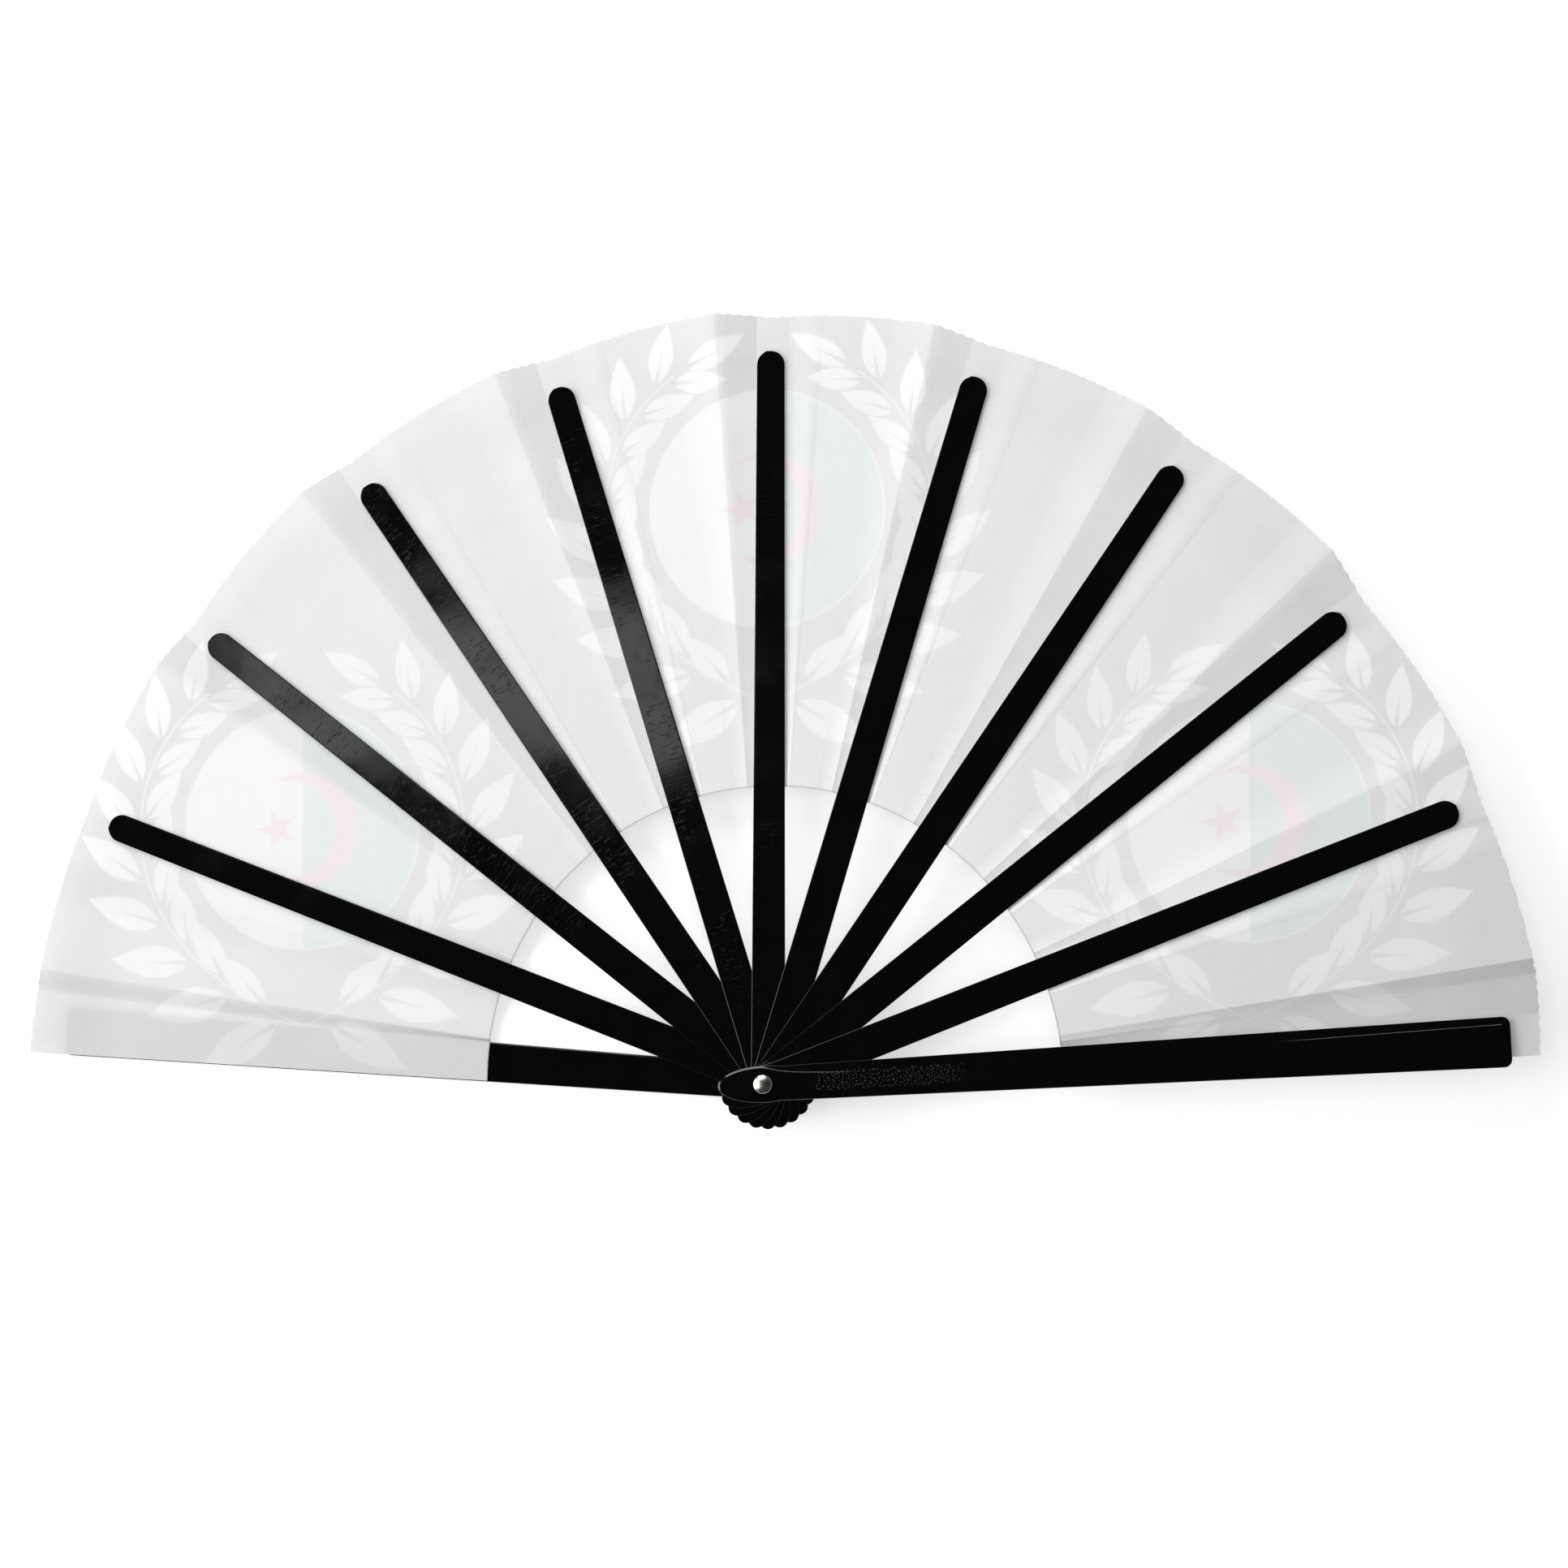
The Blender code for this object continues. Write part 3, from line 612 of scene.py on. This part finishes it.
def fold_angle(index):
    """Angle of the fold beside a stick, about which the free half of its pleat turns."""
    share = RIB_FOLD_SHARE
    if index == 0:
        share = GUARD_FOLD_SHARE
    if index == LAST_STICK - 1:
        share = 0.5 - GUARD_FOLD_SHARE
    return STICK_ANGLES[index] + share * (STICK_ANGLES[index + 1] - STICK_ANGLES[index])


def ridge_angle(index):
    """Angle of the fold that stands up before stick index: half a gap beyond the fold before it."""
    return fold_angle(index - 1) + (STICK_ANGLES[index] - STICK_ANGLES[index - 1]) / 2


def fold_height(index):
    """Height of the fold beside a stick, just above the stick itself."""
    return rib_height(index) + FOLD_RISE if index else rib_height(1) + FOLD_RISE - STACK_PITCH


def glued_height(index):
    """Height of the cloth's middle where it is glued to a stick."""
    if index == 0:
        return GUARD_THICKNESS + GLUE_GAP
    return (FRONT_GUARD_HEIGHT if index == LAST_STICK else rib_height(index)) - GLUE_GAP


def cloth_stations(index, radius):
    """Where a pleat's section changes, as angles from the pivot at each radius, with the heights there.

    The last list is how much further each place stands up in the pressed cloth. A crease before a stick
    stands up by CREASE_SLOPE times the radius beyond CREASE_START, times its own strength on the stick's
    side and times CREASE_FOOT on its other side. The panel before the front guard leans towards the
    guard, and under the guard the cloth falls on, half as steeply as before it.
    """
    stick = math.radians(STICK_ANGLES[index])
    guard = index in (0, LAST_STICK)
    reach = half_width(radius, GUARD_WIDTHS if guard else RIB_WIDTHS) + GLUE_MARGIN
    reach = np.arcsin(reach / radius)
    glued, none = np.full_like(radius, glued_height(index)), np.zeros_like(radius)
    crease = CREASE_SLOPE * np.maximum(radius - CREASE_START, 0.0)
    before_front = index == LAST_STICK - 1
    if index == 0:
        angles, heights = [stick - reach + END_MARGIN / radius, stick - reach / 2], [glued, glued]
        pressed = [none, none, none]
    else:
        ridge = none + fold_height(index - 1) + RIDGE_RISE
        angles, heights = [none + math.radians(ridge_angle(index)), stick - reach], [ridge, glued]
        pressed = [none if index == LAST_STICK else crease * CREASE_STRENGTHS[index - 1], none, none]
    angles, heights = [*angles, none + stick], [*heights, glued]
    if index == LAST_STICK:
        angles.append(stick + END_REACH / radius)
        front_crease = FRONT_CREASE_SLOPE * (radius - FRONT_CREASE_START)
        fall = front_crease / (angles[1] - angles[0]) / 2
        pressed = [front_crease, *(fall * (angles[1] - angle) for angle in angles[1:])]
        return angles, [*heights, glued], pressed
    fold = none + fold_height(index)
    bend, end = math.radians(fold_angle(index)), math.radians(ridge_angle(index + 1))
    start = bend + (FRONT_BAND_SHARE if before_front else RIDGE_START) * (end - bend)
    foot = np.maximum(stick + reach, bend - REAR_BAND) if index == 0 else stick + reach
    angles += [foot, none + bend, none + start, end + SEAM_OVERLAP / radius]
    if before_front:
        band = -FRONT_BAND_SLOPE * (radius - FRONT_BAND_START)
        lean = [-FRONT_LEAN * radius * (angle - foot) for angle in (foot, bend, start, end)]
        pressed += [lean[0], lean[1] - STREAK_FALL, lean[2], lean[3] + band]
    else:
        streak = radius * REAR_BAND_SLOPE if index == 0 else none - STREAK_FALL
        pressed += [none, streak, none, crease * CREASE_FOOT]
    return angles, [*heights, glued, fold, fold, fold + RIDGE_RISE], pressed


def softened(v):
    """Rises from 0 to 1. Its slope grows evenly over the first RIDGE_SOFTNESS of the way and then stays."""
    early = v * v / (2 * RIDGE_SOFTNESS)
    return np.where(v < RIDGE_SOFTNESS, early, v - RIDGE_SOFTNESS / 2) / (1 - RIDGE_SOFTNESS / 2)


def cloth_mesh(name, index):
    """A pleat as a surface of two parameters, across the stick and outwards from the pivot.

    Outwards, the radius runs evenly from the leaf's inner edge to its outer edge, both given by angle.
    Across, the angle runs evenly between the stations and the height eases from one station's to the next
    as v^2 (3 - 2 v), except that it meets a standing fold straight, as a pressed crease does, while the
    pressed height flattens out there. The fold before the front guard is crisp instead, and its pressed
    height takes off the mesh's own rise. The outer edge is a little frayed, as a sine of the way round.
    Gives the mesh and the points before the fraying.
    """
    share = np.linspace(0, 1, CLOTH_ROWS)
    inner = np.interp(STICK_ANGLES[index], INNER_ANGLES, INNER_RADII) * MM
    rough_radius = inner + share * (LEAF_RADIUS - inner)
    angles, heights, pressed = cloth_stations(index, rough_radius)
    columns_angle, columns_height, columns_pressed = [], [], []
    for place in range(len(angles) - 1):
        count = CLOTH_COLUMNS[place]
        last = place == len(angles) - 2
        v = np.linspace(0, 1, count + 1)[: None if last else -1, None]
        ease, press = v * v * (3 - 2 * v), v
        if place == 0 and index:
            ease = v * (2 - v)
        if place == 0 and 0 < index < LAST_STICK:
            press = softened(v)
        if place == NEXT_RIDGE:
            ease = v * v
        if place == NEXT_RIDGE and index < LAST_STICK - 1:
            press = 1 - softened(1 - v)
        columns_angle.append(angles[place] + v * (angles[place + 1] - angles[place]))
        columns_height.append(heights[place] + ease * (heights[place + 1] - heights[place]))
        press = pressed[place] + press * (pressed[place + 1] - pressed[place])
        if place == NEXT_RIDGE and index == LAST_STICK - 1:
            press = press - RIDGE_RISE * ease
        columns_pressed.append(press)
    angle, height = np.concatenate(columns_angle), np.concatenate(columns_height)
    degrees = np.degrees(angle)
    low = np.interp(degrees, INNER_ANGLES, INNER_RADII) * MM
    high = np.interp(degrees, EDGE_ANGLES, EDGE_RADII) * MM
    radius = low + share * (high - low)
    points = np.stack([radius * np.sin(angle), radius * np.cos(angle), height], -1)
    rim, frayed = radius[:, -1:], points.copy()
    frayed[:, -1, :2] *= 1 + FRAY_REACH * np.sin(2 * math.pi * rim * angle[:, -1:] / FRAY_SPACING) / rim
    count, width = points.shape[:2]
    row, column = np.meshgrid(np.arange(count - 1), np.arange(width - 1), indexing="ij")
    here = row * width + column
    faces = np.stack([here, here + 1, here + width + 1, here + width], -1).reshape(-1, 4)
    mesh = bpy.data.meshes.new(name)
    mesh.from_pydata(frayed.reshape(-1, 3), [], faces[:, ::-1].tolist())
    mesh.shade_smooth()
    edge = np.zeros(points.shape[:2], bool)
    edge[[0, -1]] = edge[:, [0, -1]] = True
    ends = np.zeros(len(mesh.edges) * 2, np.int32)
    mesh.edges.foreach_get("vertices", ends)
    border = mesh.attributes.new("sharp_edge", "BOOLEAN", "EDGE")
    border.data.foreach_set("value", edge.ravel()[ends.reshape(-1, 2)].all(axis=1))
    crease = mesh.attributes.new("pressed", "FLOAT", "POINT")
    stand = np.broadcast_to(np.concatenate(columns_pressed), points.shape[:2])
    crease.data.foreach_set("value", stand.astype(np.float32).ravel())
    outwards = mesh.attributes.new("outwards", "FLOAT", "POINT")
    outwards.data.foreach_set("value", (radius - low).astype(np.float32).ravel())
    return plan_uv(mesh), points


# The print: three laurel wreaths, each round a disc that is half white and half pale green under a pale red
# crescent and star, all in reserve on a pale grey ground. The wreath is a traditional ornament and the disc
# a national flag's design, both drawn here by formula. Each wreath is (x, y, disc radius), and its parts
# are in disc radii from its centre.
WREATHS = (
    (-204.7 * MM, 108.6 * MM, 52.1 * MM),
    (-0.6 * MM, 243.7 * MM, 50.9 * MM),
    (203.2 * MM, 109.5 * MM, 50.5 * MM),
)
WREATH_SPLIT = 100 * MM
SOFT_EDGE = 0.02
STEM_RADIUS, STEM_SPREAD, STEM_REACH = 1.377, 0.252, 0.34
STEM_HALF_WIDTH = 0.016
LEAF_STALK, LEAF_FULLNESS = 0.10, 0.8
VEIN_HALF_WIDTH, VEIN_END, VEIN_START = 0.034, 0.72, 0.12
LEAVES_A_SIDE, LEAF_STEP = 9, 0.285
OUTER_LEAVES = dict(first=0.09, shrink=0.037, tilt=0.61, length=0.76, width=0.155, bend=0.2)
INNER_LEAVES = dict(first=0.16, shrink=0.020, tilt=-0.62, length=0.58, width=0.122, bend=-0.5)
END_LEAF = dict(base=2.54, size=1.0, tilt=-0.08, length=0.60, width=0.112, bend=-0.5)
DISC_RING = 0.008
CRESCENT, CRESCENT_CUT = (0.01, 0.478), (-0.121, 0.396)
STAR_PLACE, STAR_RADIUS, STAR_NOTCH, STAR_FOLD = -0.21, 0.215, 0.38, math.pi / 5
WHITE, GROUND, GREEN, RED = "#F6F6F6", "#EEEEEE", "#EEF2F0", "#F6EFF0"
# Towards the leaf's rim, between these two radii from the pivot, the ground is drawn darker: a painted shade.
RIM_SHADED_GROUND, RIM_SHADE_RISE = "#EAEAEA", (284 * MM, 306 * MM)


def soft_step(tree, distance):
    """1 well inside an edge and 0 outside, from the distance inside it, as ink looks through thin cloth."""
    return add(tree, MATH, distance, SOFT_EDGE, operation="DIVIDE", use_clamp=True)


def stem_radius(tree, turn):
    """Distance of the wreath's stem from its centre, STEM_RADIUS + STEM_SPREAD exp(-turn / STEM_REACH)."""
    fall = add(tree, MATH, turn, -1 / STEM_REACH, operation="MULTIPLY")
    fall = add(tree, MATH, fall, operation="EXPONENT")
    return add(tree, MATH, fall, STEM_SPREAD, STEM_RADIUS, operation="MULTIPLY_ADD")


def laurel_leaf(tree, radius, turn, base, size, tilt, length, width, bend):
    """One leaf that grows from the stem at base, tilted outwards from the stem's line.

    u runs along the leaf, from 0 at its stalk to 1 at its tip, and v across it, by turning (radius, turn)
    about the leaf's base and dividing by its size. The leaf is where |v| < width sin(pi u^LEAF_FULLNESS),
    less a vein that narrows evenly and bends as u^2.
    """
    turned = add(tree, MATH, turn, base, operation="SUBTRACT")
    along = add(tree, MATH, radius, add(tree, MATH, turned, operation="SINE"), operation="MULTIPLY")
    along = add(tree, MATH, along, size, operation="DIVIDE")
    out = add(tree, MATH, radius, add(tree, MATH, turned, operation="COSINE"), operation="MULTIPLY")
    out = add(tree, MATH, out, stem_radius(tree, base), operation="SUBTRACT")
    out = add(tree, MATH, out, size, operation="DIVIDE")
    u = add(tree, MATH, along, math.cos(tilt) / length, -LEAF_STALK / length, operation="MULTIPLY_ADD")
    u = add(tree, MATH, out, math.sin(tilt) / length, u, operation="MULTIPLY_ADD", use_clamp=True)
    v = add(tree, MATH, along, -math.sin(tilt), operation="MULTIPLY")
    v = add(tree, MATH, out, math.cos(tilt), v, operation="MULTIPLY_ADD")
    bulge = add(tree, MATH, u, LEAF_FULLNESS, operation="POWER")
    bulge = add(tree, MATH, bulge, math.pi, operation="MULTIPLY")
    bulge = add(tree, MATH, add(tree, MATH, bulge, operation="SINE"), width, operation="MULTIPLY")
    leaf = add(tree, MATH, bulge, add(tree, MATH, v, operation="ABSOLUTE"), operation="SUBTRACT")
    line = add(tree, MATH, u, u, -VEIN_START, operation="MULTIPLY_ADD")
    line = add(tree, MATH, line, -bend * width, v, operation="MULTIPLY_ADD")
    vein = add(tree, MATH, u, -VEIN_HALF_WIDTH / VEIN_END, VEIN_HALF_WIDTH, operation="MULTIPLY_ADD")
    vein = add(tree, MATH, vein, add(tree, MATH, line, operation="ABSOLUTE"), operation="SUBTRACT")
    return add(tree, MATH, soft_step(tree, leaf), soft_step(tree, vein), operation="SUBTRACT", use_clamp=True)


def laurel_row(tree, radius, turn, first, shrink, **shape):
    """A row of leaves at even steps along the stem, each smaller than the one before by the same amount.

    Each point looks at the last two leaves before it.
    """
    number = add(tree, MATH, turn, first, operation="SUBTRACT")
    number = add(tree, MATH, number, LEAF_STEP, operation="DIVIDE")
    number = add(tree, MATH, number, operation="FLOOR")
    leaves = []
    for back in (0.0, 1.0):
        one = add(tree, MATH, number, back, operation="SUBTRACT")
        one = add(tree, MATH, one, 0.0, operation="MAXIMUM")
        one = add(tree, MATH, one, LEAVES_A_SIDE - 1.0, operation="MINIMUM")
        base = add(tree, MATH, one, LEAF_STEP, first, operation="MULTIPLY_ADD")
        size = add(tree, MATH, one, -shrink, 1.0, operation="MULTIPLY_ADD")
        leaves.append(laurel_leaf(tree, radius, turn, base, size, **shape))
    return add(tree, MATH, *leaves, operation="MAXIMUM")


def disc(tree, place, centre, radius):
    """Distance inside a circle whose centre lies on the wreath's level line."""
    away = add(tree, "VectorMath", place, (centre, 0.0, 0.0), operation="DISTANCE")
    return add(tree, MATH, radius, away, operation="SUBTRACT")


def star(tree, place):
    """Distance inside a five-pointed star with one point to the left.

    The angle from a point is folded to at most STAR_FOLD, and the edge is the straight line from the point
    at STAR_RADIUS to the notch at STAR_RADIUS times STAR_NOTCH.
    """
    away = add(tree, "VectorMath", place, (STAR_PLACE, 0.0, 0.0), operation="SUBTRACT")
    right, up, _ = add(tree, "SeparateXYZ", away).node.outputs
    turn = add(tree, MATH, up, add(tree, MATH, right, -1.0, operation="MULTIPLY"), operation="ARCTAN2")
    turn = add(tree, MATH, turn, STAR_FOLD, operation="PINGPONG")
    notch = STAR_NOTCH * np.array([math.cos(STAR_FOLD), math.sin(STAR_FOLD)]) * STAR_RADIUS
    edge = np.array([notch[1], STAR_RADIUS - notch[0]])
    edge /= np.linalg.norm(edge)
    far = add(tree, "VectorMath", away, operation="LENGTH")
    x = add(tree, MATH, far, add(tree, MATH, turn, operation="COSINE"), operation="MULTIPLY")
    y = add(tree, MATH, far, add(tree, MATH, turn, operation="SINE"), operation="MULTIPLY")
    out = add(tree, MATH, x, float(edge[0]), operation="MULTIPLY")
    out = add(tree, MATH, y, float(edge[1]), out, operation="MULTIPLY_ADD")
    return add(tree, MATH, float(edge[0] * STAR_RADIUS), out, operation="SUBTRACT")


def print_colour(tree, plan):
    """The printed cloth's colour at a place on the leaf, given in metres from the pivot, with a painted shade
    that darkens the ground towards the rim.
    """
    x = add(tree, "SeparateXYZ", plan)
    right = add(tree, MATH, x, WREATH_SPLIT, operation="GREATER_THAN")
    left = add(tree, MATH, x, -WREATH_SPLIT, operation="LESS_THAN")
    centres = [(x, y, 0.0) for x, y, _ in WREATHS]
    centre = add(tree, "Mix", right, centres[1], centres[2], data_type="VECTOR")
    centre = add(tree, "Mix", left, centre, centres[0], data_type="VECTOR")
    scales = [1 / size for _, _, size in WREATHS]
    scale = add(tree, "Mix", right, scales[1], scales[2])
    scale = add(tree, "Mix", left, scale, scales[0])
    place = add(tree, "VectorMath", plan, centre, operation="SUBTRACT")
    place = add(tree, "VectorMath", place, scale, operation="SCALE")
    x, y, _ = add(tree, "SeparateXYZ", place).node.outputs
    radius = add(tree, "VectorMath", place, operation="LENGTH")
    down = add(tree, MATH, y, -1.0, operation="MULTIPLY")
    turn = add(tree, MATH, add(tree, MATH, x, operation="ABSOLUTE"), down, operation="ARCTAN2")
    stem = add(tree, MATH, radius, stem_radius(tree, turn), operation="SUBTRACT")
    stem = add(tree, MATH, STEM_HALF_WIDTH, add(tree, MATH, stem, operation="ABSOLUTE"), operation="SUBTRACT")
    shown = add(tree, MATH, turn, END_LEAF["base"], operation="LESS_THAN")
    white = add(tree, MATH, soft_step(tree, stem), shown, operation="MULTIPLY")
    for row in (OUTER_LEAVES, INNER_LEAVES):
        white = add(tree, MATH, white, laurel_row(tree, radius, turn, **row), operation="MAXIMUM")
    white = add(tree, MATH, white, laurel_leaf(tree, radius, turn, **END_LEAF), operation="MAXIMUM")
    inside = soft_step(tree, disc(tree, place, 0.0, 1.0 + DISC_RING))
    white = add(tree, MATH, white, inside, operation="MAXIMUM")
    # Painted shade: the ground is mixed darker towards the leaf's rim.
    rim = add(tree, "VectorMath", plan, operation="LENGTH")
    rim = add(tree, "MapRange", rim, *RIM_SHADE_RISE, 0.0, 1.0)
    ground_with_rim_shade = add(tree, "Mix", rim, linear(GROUND), linear(RIM_SHADED_GROUND), data_type="RGBA")
    colour = add(tree, "Mix", white, ground_with_rim_shade, linear(WHITE), data_type="RGBA")
    green = soft_step(tree, disc(tree, place, 0.0, 1.0 - DISC_RING))
    green = add(tree, MATH, green, soft_step(tree, x), operation="MULTIPLY")
    colour = add(tree, "Mix", green, colour, linear(GREEN), data_type="RGBA")
    cut = add(tree, MATH, disc(tree, place, *CRESCENT_CUT), -1.0, operation="MULTIPLY")
    crescent = add(tree, MATH, disc(tree, place, *CRESCENT), cut, operation="MINIMUM")
    red = add(tree, MATH, soft_step(tree, crescent), soft_step(tree, star(tree, place)), operation="MAXIMUM")
    return add(tree, "Mix", red, colour, linear(RED), data_type="RGBA")


# Thin plain-woven polyester, white, printed and pleated with heat: matt, a little light comes through it, and
# the weave shows as a fine grain. Its threads are about 0.3 mm apart, and are drawn 1 mm apart to show. The
# attribute "pressed" is the height in metres that a fold's crease stands up beyond the mesh, and "outwards"
# the distance in metres from the leaf's inner edge, along which a thin grey line of painted shade is drawn.
CLOTH_ROUGHNESS, CLOTH_SPECULAR = 0.85, 0.2
SHOW_THROUGH = 0.45
THREAD_SPACING, THREAD_DEPTH, THREAD_SHADE, THREAD_TURN = 1.05 * MM, 0.03 * MM, 0.02, math.pi / 4
CRUMPLE_SPACING, CRUMPLE_TEXTURE, CRUMPLE_DEPTH = 30 * MM, (2.0, 0.5), 0.6 * MM
# A thin grey line of painted shade along the leaf's inner edge: its width, and how dark it makes the colour
# there.
EDGE_SHADE_WIDTH, EDGE_SHADE_LEVEL = 0.7 * MM, 0.6
cloth, tree = new_material("thin_white_polyester")
plan = add(tree, "UVMap", uv_map="plan")
wave = 2 * math.pi / THREAD_SPACING / math.sqrt(2)
threads = add(tree, "Mapping", plan, (0, 0, 0), (0, 0, THREAD_TURN), (wave, wave, 1))
warp, weft, _ = add(tree, "SeparateXYZ", threads).node.outputs
warp, weft = (add(tree, MATH, turn, operation="SINE") for turn in (warp, weft))
weave = add(tree, MATH, warp, weft, operation="MULTIPLY")
crumples = add(tree, "TexNoise", plan, 1 / CRUMPLE_SPACING, *CRUMPLE_TEXTURE)
pressed = add(tree, "Attribute", attribute_name="pressed").node.outputs["Fac"]
normal = add(tree, "Bump", 1.0, 1.0, None, pressed)
normal = add(tree, "Bump", 1.0, CRUMPLE_DEPTH, None, crumples, normal)
normal = add(tree, "Bump", 1.0, THREAD_DEPTH, None, weave, normal)
outwards = add(tree, "Attribute", attribute_name="outwards").node.outputs["Fac"]
# Painted shade: the colour darkens in a thin line along the leaf's inner edge.
edge_shade = add(tree, "MapRange", outwards, 0.0, EDGE_SHADE_WIDTH, EDGE_SHADE_LEVEL, 1.0)
shade = add(tree, MATH, weave, THREAD_SHADE / 2, 1.0 - THREAD_SHADE / 2, operation="MULTIPLY_ADD")
shade = add(tree, MATH, shade, edge_shade, operation="MULTIPLY")
colour = add(tree, "VectorMath", print_colour(tree, plan), shade, operation="SCALE")
matt = {"Base Color": colour, "Roughness": CLOTH_ROUGHNESS, "Specular IOR Level": CLOTH_SPECULAR}
matt["Normal"] = normal
shader = add(tree, "BsdfPrincipled", sockets=matt)
through = add(tree, "BsdfTranslucent", colour, normal)
add(tree, "OutputMaterial", add(tree, "MixShader", SHOW_THROUGH, shader, through))

rib_numbers = range(1, LAST_STICK)
stick_bodies = ["rear", *(f"rib_{number}" for number in rib_numbers), "front"]
stick_pieces = ["rear_guard_stick", *(f"rib_blade_{number}" for number in rib_numbers), "front_guard_stick"]
panels = ["leaf_end_rear", *(f"leaf_panel_{number}" for number in rib_numbers), "leaf_end_front"]
for index, (body, stick, panel) in enumerate(zip(stick_bodies, stick_pieces, panels)):
    name = f"cloth_pleat_{index + 1}"
    mesh, points = cloth_mesh(name, index)
    bends = index < LAST_STICK
    nodes = [panel, f"leaf_fold_{index + 1}"] if bends else [panel]
    pleat = show(name, mesh, cloth, nodes, None if bends else body)
    thickness = pleat.modifiers.new("thickness", "SOLIDIFY")
    thickness.thickness = CLOTH_THICKNESS
    thickness.offset = 0.0
    if bends:
        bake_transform(pleat)
